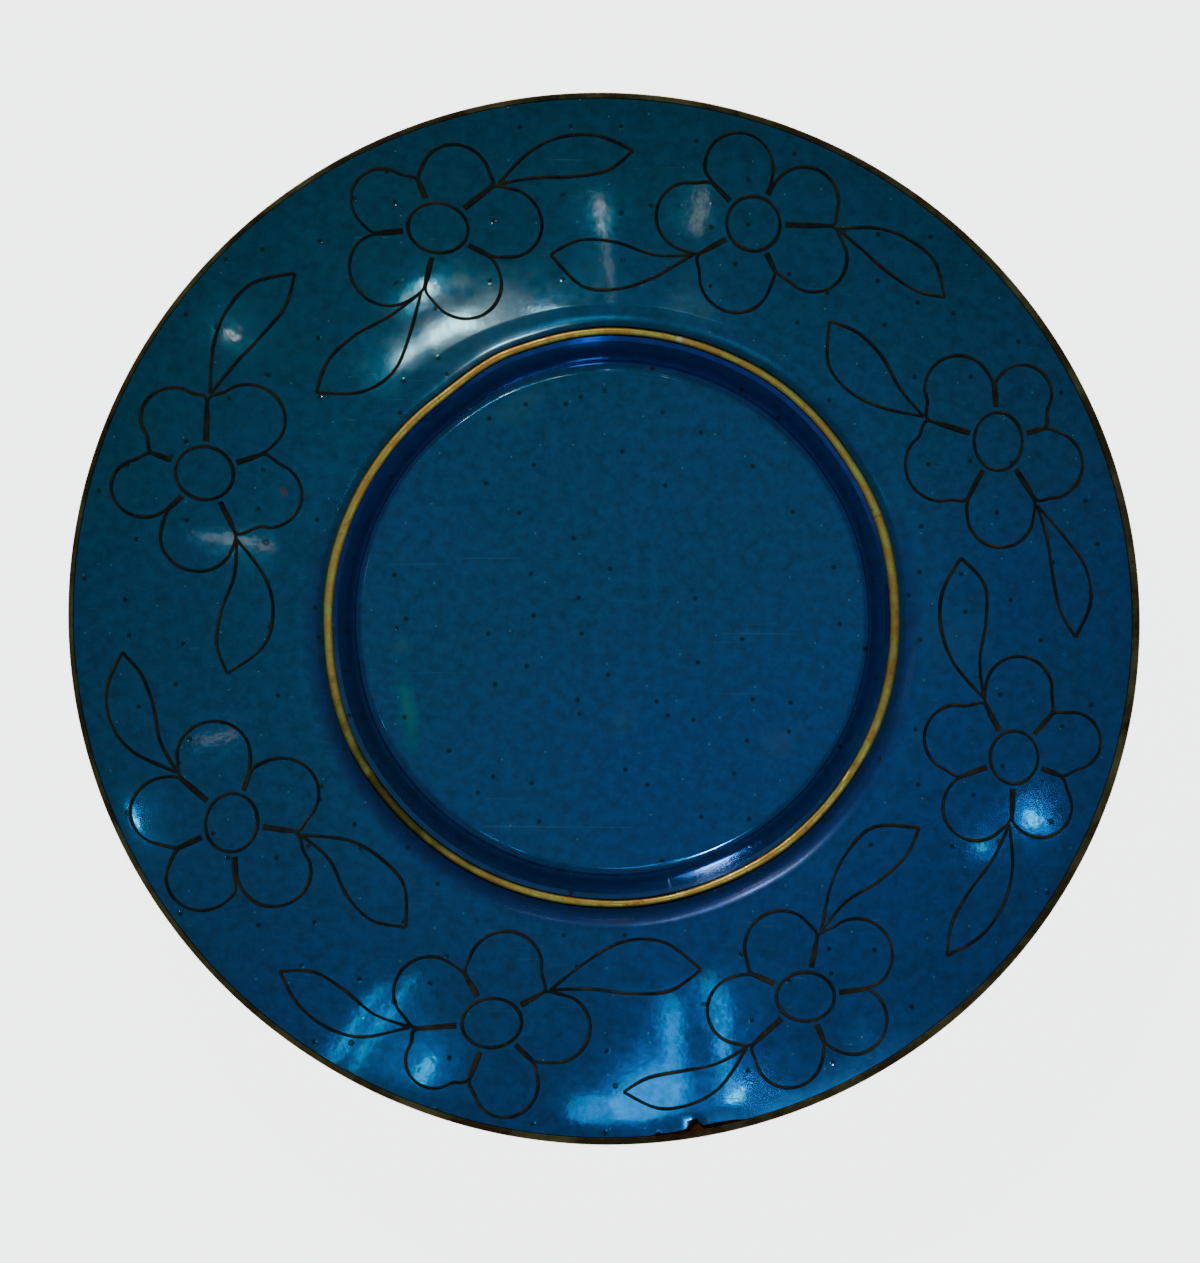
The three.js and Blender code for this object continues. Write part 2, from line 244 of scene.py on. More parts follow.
def rim_top(radius):
    """Height of the rim enamel's face over a radius, in mm."""
    start, pull, end = slope_ends
    a = start.x - 2 * pull.x + end.x
    b = 2 * (pull.x - start.x)
    reach = min(max(radius, start.x), end.x)
    t = (math.sqrt(b * b - 4 * a * (start.x - reach)) - b) / (2 * a)
    height = start.y * (1 - t) ** 2 + 2 * pull.y * t * (1 - t) + end.y * t * t
    rise = (pull.y - start.y) * (1 - t) + (end.y - pull.y) * t
    run = (pull.x - start.x) * (1 - t) + (end.x - pull.x) * t
    return height + (COAT + CLEARANCE) * math.hypot(rise, run) / run


print("points along the well and the rim:", len(well_line), len(rim_line))

# %% [markdown]
# ## Turning a piece
# Spin sweeps an outline round the dish's axis, as a lathe does. The outline closes on itself or ends
# on the axis, so the result is a closed solid. Corners that a hand can feel get a small bevel first.

# %% Turning
TURNS = 288  # steps of the spin in one round
CORNER = math.radians(35)  # an edge bent more than this shows as a corner
SAME_PLACE = 1e-4  # points closer than this, in mm, are one
BEVEL_STEPS = 3


def link_piece(name, mesh, material, nodes):
    """Makes the object of a finished mesh, and hides the plain pieces it stands for."""
    piece = bpy.data.objects.new(name, mesh)
    bpy.context.scene.collection.objects.link(piece)
    mesh.materials.append(material)
    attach(piece, BODY)
    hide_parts(*nodes)
    print(name, len(mesh.polygons), "faces")


def turned(name, outline, bevels=(), wavy=False, shape=None, turns=TURNS):
    """A closed mesh spun from an outline in mm. bevels: (index in the outline, size in mm). wavy: a
    polished face with slow waves. shape: a function that moves each point before by_hand does."""
    bm = bmesh.new()
    points = [bm.verts.new((at.x, 0, at.y)) for at in outline]
    closed = outline[0].x > 0
    pairs = list(zip(points, points[1:]))
    if closed:
        pairs.append((points[-1], points[0]))
    for pair in pairs:
        bm.edges.new(pair)
    for index, size in bevels:
        bmesh.ops.bevel(
            bm, geom=[points[index]], offset=size, offset_type="OFFSET", affect="VERTICES",
            segments=BEVEL_STEPS, profile=0.5, material=-1,
        )
    profile = list(bm.verts) + list(bm.edges)
    bmesh.ops.spin(
        bm, geom=profile, cent=(0, 0, 0), axis=(0, 0, 1), angle=2 * math.pi,
        steps=turns, use_merge=True,
    )
    bmesh.ops.remove_doubles(bm, verts=bm.verts, dist=SAME_PLACE)
    bmesh.ops.recalc_face_normals(bm, faces=bm.faces)
    for vert in bm.verts:
        if shape:
            vert.co = shape(vert.co)
        lift = unevenness(vert.co.x, vert.co.y) if wavy else 0
        vert.co = by_hand(vert.co + Vector((0, 0, lift)))
    mesh = bpy.data.meshes.new(name)
    bm.to_mesh(mesh)
    bm.free()
    mesh.shade_smooth()
    mesh.set_sharp_from_angle(angle=CORNER)
    return mesh


print("a step of the spin at the rim, mm:", round(2 * math.pi * rim_radius / TURNS, 2))

# %% [markdown]
# ## Materials
# One function adds a node with its settings and links, and one turns a colour as a painter writes it
# into the linear values that the renderer mixes. Patterns are sized in millimetres.

# %% Material helpers
def linear(code):
    """Linear colour of an sRGB hex value."""
    parts = [int(code[i:i + 2], 16) / 255 for i in (1, 3, 5)]
    mixed = [p / 12.92 if p <= 0.04045 else ((p + 0.055) / 1.055) ** 2.4 for p in parts]
    return (*mixed, 1)


def add(tree, kind, inputs=None, **settings):
    """Adds a node. inputs, by name or number: values, or nodes and sockets to link from."""
    made = tree.nodes.new("ShaderNode" + kind)
    for key, value in settings.items():
        setattr(made, key, value)
    for key, value in (inputs or {}).items():
        if isinstance(value, bpy.types.Node):
            value = next(socket for socket in value.outputs if socket.enabled)
        if isinstance(value, bpy.types.NodeSocket):
            tree.links.new(value, made.inputs[key])
        else:
            made.inputs[key].default_value = value
    return made


def start_material(name):
    """A new node material, its tree, its shader and its object coordinates."""
    material = bpy.data.materials.new(name)
    material.use_nodes = True
    tree = material.node_tree
    shader = tree.nodes["Principled BSDF"]
    place = add(tree, "TexCoord").outputs["Object"]
    return material, tree, shader, place


print("linear value of a mid grey:", round(linear("#808080")[0], 3))

# %% [markdown]
# ## Marks that time left
# Worn and greasy places are ovals with a ragged edge. Pits and dust are round specks in some cells of a
# random grid. Scratches are a noise that is stretched until only lines are left of it, and they are
# drawn wider than real ones, so that they show.

# %% Marks, pits and scratches
RAGGED = 1.4  # how far the uneven pattern moves a mark's edge, as a share of its size
MARK_PATTERN = 1.6  # size of that pattern, in mm
MARK_DULLS = 0.10  # how much duller the face is in a mark
SCRATCH_WIDTH = 0.35  # in mm
SCRATCH_STRETCH = 0.02  # how little the noise changes along a scratch


def mark(tree, place, uneven, middle, half, turn):
    """1 in the middle of an oval mark, 0 outside it, its edge made ragged by an uneven pattern. Sizes
    in mm, turn in degrees."""
    oval = {
        "Vector": place,
        "Location": (middle[0] * MM, middle[1] * MM, 0),
        "Rotation": (0, 0, math.radians(turn)),
        "Scale": (half[0] * MM, half[1] * MM, 1),
    }
    inside = add(tree, "Mapping", oval, vector_type="TEXTURE")
    flat = add(tree, "VectorMath", {0: inside, 1: (1, 1, 0)}, operation="MULTIPLY")
    away = add(tree, "VectorMath", {0: flat}, operation="LENGTH")
    edge = add(tree, "Math", {0: uneven, 1: RAGGED, 2: away}, operation="MULTIPLY_ADD")
    return add(tree, "MapRange", {"Value": edge, 1: 1.6, 2: 0.9})


def marked(tree, place, colour, dull, marks):
    """The colour with its marks, and how dull they make the face. marks: middle and half sizes in mm,
    turn in degrees, colour, share of that colour."""
    uneven = add(tree, "TexNoise", {"Vector": place, "Scale": 1 / (MARK_PATTERN * MM), "Detail": 4})
    for middle, half, turn, tint, share in marks:
        shape = mark(tree, place, uneven, middle, half, turn)
        part = add(tree, "Math", {0: shape, 1: share}, operation="MULTIPLY")
        colour = add(tree, "Mix", {0: part, 6: colour, 7: tint}, data_type="RGBA")
        dull = add(tree, "Math", {0: shape, 1: MARK_DULLS, 2: dull}, operation="MULTIPLY_ADD")
    return colour, dull


def specks(tree, place, spacing, radius, share):
    """Round dots of a radius in mm, in a share of the cells of a random grid spacing mm wide."""
    values = {"Vector": place, "Scale": 1 / (spacing * MM)}
    cells = add(tree, "TexVoronoi", values, voronoi_dimensions="2D")
    dots = add(tree, "MapRange", {"Value": cells, 1: radius / spacing, 2: radius / spacing / 2})
    pick = add(tree, "SeparateColor", {0: cells.outputs["Color"]})
    kept = add(tree, "Math", {0: pick, 1: share}, operation="LESS_THAN")
    return add(tree, "Math", {0: dots, 1: kept}, operation="MULTIPLY")


def scratches(tree, place, turn):
    """Fine long lines, at an angle in degrees."""
    stretch = (SCRATCH_STRETCH, 1, 1)
    values = {"Vector": place, "Rotation": (0, 0, math.radians(turn)), "Scale": stretch}
    along = add(tree, "Mapping", values)
    lines = add(tree, "TexNoise", {"Vector": along, "Scale": 1 / (SCRATCH_WIDTH * MM), "Detail": 1})
    return add(tree, "MapRange", {"Value": lines, 1: 0.74, 2: 0.80})


print("a scratch is about", round(SCRATCH_WIDTH / SCRATCH_STRETCH, 1), "mm long")

# %% [markdown]
# ## Blue enamel
# The glass is translucent and lies over bright copper. Light that goes down comes back from the metal
# deep in colour and soft, and the polished glass gives a second, sharp reflection. So the shader is a
# tinted, slightly rough metal under a full clear coat. Where the glass is thin it is teal, where it is
# thicker it turns to royal blue. Painted light makes it teal towards the upper left and royal blue
# towards the lower right, and the walls beside the ring get a painted shade colour on one side.

# %% How deep the glass is, with painted light and shade
THIN_GLASS = linear("#00607c")
THICK_GLASS = linear("#0059a4")
# painted shade: the flank outside the ring, on its lower side, made dark navy
RIM_FLANK_SHADE = linear("#002c7c")
# painted shade and glints: the upper wall in the well in a saturated royal blue
WELL_WALL_SHADE = linear("#0044c0")
CLOUD_SHARE = 0.7  # how much the depth wanders by itself
CLOUD_SIZE = 22  # in mm
LIGHT_TINT_ACROSS, LIGHT_TINT_DOWN = 0.225, 0.5  # painted light: how much bluer the glass is painted to the right, and downwards
TURN_TO_BLUE = 0.45  # half the range of depths in which teal turns to blue


def beside_ring(tree, place, start, end, upper):
    """The wall beside the ring, between two radii in mm, and that wall with painted shade on one side
    of it:
    the upper side for 1, the lower side for -1."""
    flat = add(tree, "VectorMath", {0: place, 1: (1, 1, 0)}, operation="MULTIPLY")
    middle = {0: flat, 1: (well_shift * MM, 0, 0)}
    radius = add(tree, "VectorMath", middle, operation="DISTANCE")
    wall = add(tree, "MapRange", {"Value": radius, 1: start * MM, 2: end * MM})
    height = add(tree, "SeparateXYZ", {0: place}).outputs["Y"]
    # painted shade on the side of the wall that faces the dish's lower edge
    sides = {"Value": height, 1: -12 * MM * upper, 2: 16 * MM * upper, 3: 0.15, 4: 0.95}
    side = add(tree, "MapRange", sides)
    return wall, add(tree, "Math", {0: wall, 1: side}, operation="MULTIPLY")


def glass_colour(tree, place, lean, deep, wall_shade):
    """Random teal and royal blue, painted light teal at the upper left and blue at the lower right, and
    the walls' painted shade colour beside the ring.
    """
    axes = add(tree, "SeparateXYZ", {0: place})
    # painted light: teal towards the upper left, royal blue towards the lower right
    across = {0: axes.outputs["X"], 1: LIGHT_TINT_ACROSS / (rim_radius * MM)}
    across = add(tree, "Math", across, operation="MULTIPLY")
    cloud = add(tree, "TexNoise", {"Vector": place, "Scale": 1 / (CLOUD_SIZE * MM), "Detail": 2})
    cloud = add(tree, "Math", {0: cloud, 1: CLOUD_SHARE, 2: across}, operation="MULTIPLY_ADD")
    down = {0: axes.outputs["Y"], 1: -LIGHT_TINT_DOWN / (rim_radius * MM), 2: cloud}
    depth = add(tree, "Math", down, operation="MULTIPLY_ADD")
    ends = {"Value": depth, 1: lean - TURN_TO_BLUE, 2: lean + TURN_TO_BLUE}
    share = add(tree, "MapRange", ends)
    colour = add(tree, "Mix", {0: share, 6: THIN_GLASS, 7: THICK_GLASS}, data_type="RGBA")
    return add(tree, "Mix", {0: deep, 6: colour, 7: wall_shade}, data_type="RGBA")


print("thin and thick glass, green against blue:", THIN_GLASS[1:3], THICK_GLASS[1:3])

# %% [markdown]
# ## Wear of the glass
# Hands and cloths left haze, mostly at the upper left. The well has a green stain and a scuff, and the
# rim a small red fleck. Pits are bubbles that the polishing opened, so they are dark and sunk.

# %% Wear of the blue glass
DIRT = linear("#00141a")
HAZE = linear("#7e9794")
DUST = linear("#a8c4c8")
PITS = (4.2, 0.3, 0.5)  # spacing and radius in mm, share of the cells
DUST_SPECKS = (3.4, 0.12, 0.35)
# Marks: middle and half sizes in mm, turn in degrees, colour, share of that colour
RIM_MARKS = [
    ((-12.5, 28.5), (13, 6.5), 22, HAZE, 0.24),
    ((8.5, 31), (4, 6), 0, HAZE, 0.10),
    ((-31.0, 12.4), (0.6, 0.9), 20, linear("#8a4654"), 0.8),
    ((34.0, -2.0), (5, 4), 0, HAZE, 0.06),
]
WELL_MARKS = [
    ((-8.5, 20.5), (5.5, 2.2), 30, HAZE, 0.20),
    ((-19.6, -2.6), (1.7, 1.3), 0, HAZE, 0.22),
    ((-19.2, -8.6), (1.3, 5.4), 8, linear("#3f9a86"), 0.55),
    ((17.0, -12.0), (3.2, 2.6), 40, linear("#7a7f9c"), 0.16),
    ((2.0, -9.5), (3.0, 1.6), 60, HAZE, 0.10),
]


def worn_glass(tree, place, colour, marks):
    """The colour with clouds, scratches and marks, and how dull the polish is."""
    values = {"Vector": place, "Scale": 1 / (1.1 * MM), "Detail": 3, "Roughness": 0.65}
    clouds = add(tree, "TexNoise", values)
    clouds = add(tree, "MapRange", {"Value": clouds, 1: 0.38, 2: 0.72, 4: 0.45})
    colour = add(tree, "Mix", {0: clouds, 6: colour, 7: DIRT}, data_type="RGBA")
    lines = {0: scratches(tree, place, -70), 1: 0.7, 2: scratches(tree, place, 25)}
    lines = add(tree, "Math", lines, operation="MULTIPLY_ADD")
    share = add(tree, "Math", {0: lines, 1: 0.14}, operation="MULTIPLY")
    colour = add(tree, "Mix", {0: share, 6: colour, 7: DUST}, data_type="RGBA")
    dull = add(tree, "Math", {0: lines, 1: 0.15, 2: 0.05}, operation="MULTIPLY_ADD")
    return marked(tree, place, colour, dull, marks)


def with_specks(tree, place, colour, pits):
    """The colour with dark pits and pale dust."""
    dark = add(tree, "Math", {0: pits, 1: 0.9}, operation="MULTIPLY")
    colour = add(tree, "Mix", {0: dark, 6: colour, 7: DIRT}, data_type="RGBA")
    dust = specks(tree, place, *DUST_SPECKS)
    pale = add(tree, "Math", {0: dust, 1: 0.45}, operation="MULTIPLY")
    return add(tree, "Mix", {0: pale, 6: colour, 7: DUST}, data_type="RGBA")


print("marks on the rim and in the well:", len(RIM_MARKS), len(WELL_MARKS))

# %% [markdown]
# ## Polish of the glass
# The metal under the glass gives a slightly rough reflection, and the coat a sharp one. The walls
# beside the ring were out of the polishing stone's reach, so they have a satin gloss. Slow waves and
# the sunk pits bend both reflections. The grit is drawn coarser than it is, so that it shows.

# %% Blue enamel
POLISH = 0.09  # roughness of the copper's light under the glass
GRAIN_SIZE, WAVE_SIZE, GRIT_SIZE = 9, 2.6, 0.7  # patterns of the polish, in mm
WAVE_SHARE, PIT_SHARE = 1.5, -4  # heights of waves and pits, against the grit's
RELIEF = 0.006  # height of the grit, in mm


def blue_enamel(name, lean, wall_shade, wall_place, satin, marks):
    """lean: how much of the glass is thin. wall_place: radii and side for beside_ring. satin: how much
    rougher the wall is, where the polishing stone did not reach."""
    material, tree, shader, place = start_material(name)
    wall, deep = beside_ring(tree, place, *wall_place)
    colour = glass_colour(tree, place, lean, deep, wall_shade)
    colour, dull = worn_glass(tree, place, colour, marks)
    pits = specks(tree, place, *PITS)
    colour = with_specks(tree, place, colour, pits)
    grain = add(tree, "TexNoise", {"Vector": place, "Scale": 1 / (GRAIN_SIZE * MM), "Detail": 2})
    values = {"Value": grain, 1: 0.35, 2: 0.7, 3: POLISH - 0.02, 4: POLISH + 0.06}
    soft = add(tree, "MapRange", values)
    soft = add(tree, "Math", {0: wall, 1: satin, 2: soft}, operation="MULTIPLY_ADD")
    dull = add(tree, "Math", {0: wall, 1: satin, 2: dull}, operation="MULTIPLY_ADD")
    waves = add(tree, "TexNoise", {"Vector": place, "Scale": 1 / (WAVE_SIZE * MM), "Detail": 1})
    grit = add(tree, "TexNoise", {"Vector": place, "Scale": 1 / (GRIT_SIZE * MM), "Detail": 1})
    ripple = add(tree, "Math", {0: waves, 1: WAVE_SHARE, 2: grit}, operation="MULTIPLY_ADD")
    ripple = add(tree, "Math", {0: pits, 1: PIT_SHARE, 2: ripple}, operation="MULTIPLY_ADD")
    bump = add(tree, "Bump", {"Height": ripple, "Strength": 0.4, "Distance": RELIEF * MM})
    shader.inputs["Metallic"].default_value = 0.9
    shader.inputs["Coat Weight"].default_value = 1.0
    shader.inputs["Coat IOR"].default_value = 1.5
    tree.links.new(colour.outputs["Result"], shader.inputs["Base Color"])
    tree.links.new(soft.outputs["Value"], shader.inputs["Roughness"])
    tree.links.new(dull.outputs["Value"], shader.inputs["Coat Roughness"])
    tree.links.new(bump.outputs["Normal"], shader.inputs["Coat Normal"])
    tree.links.new(bump.outputs["Normal"], shader.inputs["Normal"])
    print(name, len(tree.nodes), "nodes")
    return material


# Where each wall starts and is fully reached, as radii in mm, and the side of it that gets painted
# shade
rim_wall = (30.6, 29.2, -1)
well_wall = (24.2, 25.8, 1)
rim_glass = blue_enamel("rim_blue_enamel", 0.38, RIM_FLANK_SHADE, rim_wall, 0.12, RIM_MARKS)
well_glass = blue_enamel("well_blue_enamel", 0.32, WELL_WALL_SHADE, well_wall, 0.08, WELL_MARKS)

# %% [markdown]
# ## Counter enamel
# The underside has a plainer coat of opaque blue, fired without polishing, so it is more even in colour
# and its gloss is softer.

# %% Counter enamel
BACK_PITS = (3.2, 0.16, 0.6)  # spacing and radius in mm, share of the cells
BACK_CLOUD_SIZE, ORANGE_PEEL_SIZE, ORANGE_PEEL = 9, 2.2, 0.02  # in mm
back_glass, tree, shader, place = start_material("counter_enamel")
cloud = add(tree, "TexNoise", {"Vector": place, "Scale": 1 / (BACK_CLOUD_SIZE * MM), "Detail": 4})
cloud = add(tree, "MapRange", {"Value": cloud, 1: 0.3, 2: 0.7})
tints = {0: cloud, 6: linear("#0a2c4e"), 7: linear("#0f3d63")}
colour = add(tree, "Mix", tints, data_type="RGBA")
pits = specks(tree, place, *BACK_PITS)
colour = add(tree, "Mix", {0: pits, 6: colour, 7: linear("#05080d")}, data_type="RGBA")
height = add(tree, "TexNoise", {"Vector": place, "Scale": 1 / (ORANGE_PEEL_SIZE * MM), "Detail": 3})
bump = add(tree, "Bump", {"Height": height, "Strength": 0.5, "Distance": ORANGE_PEEL * MM})
shader.inputs["Roughness"].default_value = 0.3
shader.inputs["Coat Weight"].default_value = 0.6
shader.inputs["Coat Roughness"].default_value = 0.15
tree.links.new(colour.outputs["Result"], shader.inputs["Base Color"])
tree.links.new(bump.outputs["Normal"], shader.inputs["Normal"])
print(back_glass.name, len(tree.nodes), "nodes")

# %% [markdown]
# ## Bare metals
# Copper shows at the lip and the foot, brown with handling, and reddish where the glass broke away. The
# ring is brass, gold at the top and the left, browner at the right, with a bright speck of solder, and
# its lower left is darkened as painted shade. The firing left the wires nearly black.

# %% Bare metals
SCALE_RELIEF = 0.03  # height of the metals' grain, in mm
LIP_MARKS = [((8.8, -49.0), (5.5, 1.7), 8, linear("#4e241a"), 0.95)]
RING_MARKS_AND_SHADE = [
    ((28.4, -3.0), (5, 15), 0, linear("#8a6a38"), 0.45),
    # painted shade: the ring's lower left darkened, where little light falls
    ((-21.0, -18.0), (9, 17), 40, linear("#4c3a1c"), 0.85),
    ((7.3, 27.0), (0.5, 0.4), 0, linear("#fff4cc"), 0.9),
]


def worn_metal(name, colours, size, roughness, metallic, marks):
    """A tarnished metal. colours: clean patches about size mm wide, the dull skin, and dark grain."""
    material, tree, shader, place = start_material(name)
    clean, skin, dark = (linear(code) for code in colours)
    values = {"Vector": place, "Scale": 1 / (size * MM), "Detail": 6, "Roughness": 0.65}
    wear = add(tree, "MapRange", {"Value": add(tree, "TexNoise", values), 1: 0.42, 2: 0.62})
    values = {"Vector": place, "Scale": 3 / (size * MM), "Detail": 6, "Roughness": 0.75}
    grain = add(tree, "MapRange", {"Value": add(tree, "TexNoise", values), 1: 0.56, 2: 0.75})
    colour = add(tree, "Mix", {0: wear, 6: skin, 7: clean}, data_type="RGBA")
    colour = add(tree, "Mix", {0: grain, 6: colour, 7: dark}, data_type="RGBA")
    dull = add(tree, "MapRange", {"Value": wear, 3: roughness + 0.2, 4: roughness})
    colour, dull = marked(tree, place, colour, dull, marks)
    height = add(tree, "TexNoise", {"Vector": place, "Scale": 8 / (size * MM), "Detail": 5})
    bump = add(tree, "Bump", {"Height": height, "Strength": 0.6, "Distance": SCALE_RELIEF * MM})
    shader.inputs["Metallic"].default_value = metallic
    tree.links.new(colour.outputs["Result"], shader.inputs["Base Color"])
    tree.links.new(dull.outputs[0], shader.inputs["Roughness"])
    tree.links.new(bump.outputs["Normal"], shader.inputs["Normal"])
    print(name, len(tree.nodes), "nodes")
    return material


copper_colours = ("#76623f", "#4c3924", "#1e160f")
copper = worn_metal("oxidised_copper", copper_colours, 6.0, 0.4, 1.0, LIP_MARKS)
brass_colours = ("#ffcd66", "#eea650", "#40270f")
brass = worn_metal("worn_brass", brass_colours, 2.2, 0.27, 1.0, RING_MARKS_AND_SHADE)
dark_wire = worn_metal("fired_wire", ("#40311f", "#1f1a15", "#080808"), 3.0, 0.5, 0.5, [])

# %% [markdown]
# ## Copper body
# One sheet makes the floor, the wall, the ridge, the rim and the lip, and the foot was turned on it.
# The lip and the foot are bevelled, because that is where the metal shows.

# %% Copper body
RIDGE_SHEETS = 1.4  # thickness under the ring's seat, in sheets
LEFT_OUT_INSIDE, LEFT_OUT_OUTSIDE = 3, 5  # points beside the ridge that its one back point replaces
FOOT_GAP = 0.5  # room beside the foot before the wall rises, in mm
LIP_LEAN = 0.05  # how much lower the lip is on its inner side, in mm
LIP_BEVELS = (0.08, 0.2, 0.2)  # at its inner, upper and lower edge, in mm
FOOT_BEVEL = 0.15

under_well = [
    at for at in moved(well_line, -SHEET)[FLOOR_STEPS:-LEFT_OUT_INSIDE]
    if at.x > foot_radius + FOOT_GAP
]
ridge_back = Vector((ring_radius + SHEET / 2, seat_height - SHEET * RIDGE_SHEETS))
under_rim = moved(rim_line, -SHEET)[LEFT_OUT_OUTSIDE:]
under_line = [Vector((foot_radius, base_height)), *under_well, ridge_back, *under_rim]
lip_top = body_high.z
body_outline = [
    *well_line,
    *rim_line,
    Vector((lip_inside, lip_top - LIP_LEAN)),
    Vector((rim_radius, lip_top)),
    Vector((rim_radius, under_line[-1].y)),
    *reversed(under_line),
    Vector((foot_radius, 0)),
    Vector((foot_inside, 0)),
    Vector((foot_inside, base_height)),
    Vector((0, base_height)),
]
lip_at = len(well_line) + len(rim_line)
foot_at = len(body_outline) - 4
body_bevels = [(lip_at + i, size) for i, size in enumerate(LIP_BEVELS)]
body_bevels += [(foot_at, FOOT_BEVEL), (foot_at + 1, FOOT_BEVEL)]
body_mesh = turned("copper_body", body_outline, body_bevels)
link_piece("copper_body", body_mesh, copper, ["metal_body"])

# %% [markdown]
# ## Brass ring
# A drawn wire, soldered on the ridge. Its crown was rubbed flat when the enamel was polished down, so
# the section is a round whose top is cut low. It was rubbed more at the left and the right, where it
# looks widest. It has one nick at the lower right, and a bead of solder stands on it near the top.

# %% Brass ring
CROWN_STEPS = 14
FLATNESS = 0.6  # below 1 the crown is flatter than a half round
WIDER = 0.16  # share by which the ring is wider at the left and the right
WIDTH_WAVES = [(0.14, 2.3), (0.05, 31)]  # share of the width, and how fast it changes
WORN_WAVES = [(0.10, 6), (0.03, 47)]  # share of the height, and how fast it changes
# Nick and bead of solder: bearing and half length in degrees, share of the height that is gone
NICKS = [(-33, 2.0, 0.30), (77, 1.0, -0.10)]
ring_shoulder = (ring_low.z + ring_high.z) / 2
ring_outline = []
for i in range(CROWN_STEPS + 1):
    turn = math.pi * (1 - i / CROWN_STEPS)
    crown = math.sin(turn) ** FLATNESS * (ring_high.z - ring_shoulder)
    side = RING_WIDTH / 2 * math.cos(turn)
    ring_outline.append(Vector((ring_radius + side, ring_shoulder + crown)))
ring_outline += [Vector((ring_outside, ring_low.z)), Vector((ring_inside, ring_low.z))]


def rubbed(at):
    """The ring's width and height change along it."""
    bearing = math.atan2(at.y, at.x)
    radius = math.hypot(at.x, at.y)
    way = Vector((math.cos(bearing), math.sin(bearing), 0))
    grow = 1 + WIDER * math.cos(2 * bearing)
    for share, fast in WIDTH_WAVES:
        grow += share * noise.noise(way * fast)
    sink = sum(share * abs(noise.noise(way * fast)) for share, fast in WORN_WAVES)
    for middle, half, deep in NICKS:
        sink += deep * ease(1 - abs(math.degrees(bearing) - middle) / half)
    out = ring_radius + (radius - ring_radius) * grow
    return Vector((way.x * out, way.y * out, at.z - sink * (at.z - ring_low.z)))


ring_mesh = turned("brass_ring", ring_outline, shape=rubbed)
link_piece("brass_ring", ring_mesh, brass, ["ridge_ring"])

# %% [markdown]
# ## Enamel in the well
# The glass lies on the copper from the ring down over the wall and the floor, in one even coat.

# %% Enamel in the well
well_top = moved(well_line, COAT + CLEARANCE)
well_top[0] = Vector((0, well_top[1].y))
well_shoulder = [Vector((ring_inside - CLEARANCE, seat_height + COAT + CLEARANCE))]
well_back = moved(well_line, CLEARANCE)
well_outline = [*well_top, *well_shoulder, *reversed(well_back)]
well_mesh = turned("well_glass", well_outline, wavy=True)
link_piece("well_glass", well_mesh, well_glass, ["well_enamel"])

# %% [markdown]
# ## Enamel on the rim
# This coat goes from the ring to the lip. At the lower edge a piece has broken away, with a deep notch
# and a long shallow one beside it. The edge is drawn back there, and the copper below comes out.

# %% Enamel on the rim, with its chip
EDGE_SLOPE = 0.3  # the rim's slope at its edge, which the glass keeps when it is drawn back
EDGE_REACH = 1.2  # how far inside the lip that is felt, in mm
NOTCH_STEEPNESS = 1.6
NOTCH_RAGGED = 0.6
CREEP = 0.2  # how far the glass creeps up beside the ring, in mm
CHIPS = [(-80.4, 0.9, 0.75), (-78.8, 4.8, 0.32), (-84.0, 1.2, 0.15)]  # middle, half, depth in mm


def chipped(at):
    """Draws the edge of the coat back where the glass has broken away."""
    bearing = math.degrees(math.atan2(at.y, at.x))
    radius = math.hypot(at.x, at.y)
    lost = 0
    for middle, half, deep in CHIPS:
        lost += deep * ease(NOTCH_STEEPNESS * (1 - abs(bearing - middle) / half))
    ragged = noise.noise(Vector((bearing * 1.7, 0, 0))) + noise.noise(Vector((bearing * 0.9, 5, 0)))
    lost *= 1 + NOTCH_RAGGED * ragged
    near_edge = ease((radius - (lip_inside - EDGE_REACH)) / EDGE_REACH)
    out = (radius - lost * near_edge) / radius
    return Vector((at.x * out, at.y * out, at.z - lost * near_edge * EDGE_SLOPE))


rim_face = moved(rim_line, COAT + CLEARANCE)
rim_face[0] = Vector((ring_outside + CLEARANCE, rim_face[0].y + CREEP))
rim_face[-1] = Vector((lip_inside - CLEARANCE, rim_top(lip_inside)))
rim_back = moved(rim_line, CLEARANCE)
rim_back[0] = Vector((ring_outside + CLEARANCE, rim_back[0].y))
rim_back[-1] = Vector((lip_inside - CLEARANCE, rim_back[-1].y))
rim_outline = [*rim_face, *reversed(rim_back)]
rim_mesh = turned("rim_glass", rim_outline, wavy=True, shape=chipped, turns=2 * TURNS)
link_piece("rim_glass", rim_mesh, rim_glass, ["rim_enamel"])

# %% [markdown]
# ## Enamel on the underside
# Glass on one side alone would pull the copper out of shape as it cools, so the underside has a coat
# too: one from the foot round the well to the lip, and one inside the foot.

# %% Counter enamel below
BASE_STEPS = 8
BASE_BEVEL = 0.12
back_top = moved(under_line, -CLEARANCE)
back_face = moved(under_line, -CLEARANCE - BACK_COAT)
for line in (back_top, back_face):
    line[0] = Vector((foot_radius + CLEARANCE, line[0].y))
back_mesh = turned("back_glass", [*back_top[:-2], *reversed(back_face[:-2])])
link_piece("back_glass", back_mesh, back_glass, ["back_enamel"])

base_end = foot_inside - CLEARANCE
base_top = [Vector((base_end * i / BASE_STEPS, base_high.z)) for i in range(BASE_STEPS + 1)]
base_face = [Vector((at.x, base_low.z)) for at in base_top]
base_bevels = [(BASE_STEPS + 1, BASE_BEVEL)]
base_mesh = turned("base_glass", [*base_top, *reversed(base_face)], base_bevels)
link_piece("base_glass", base_mesh, back_glass, ["base_enamel"])
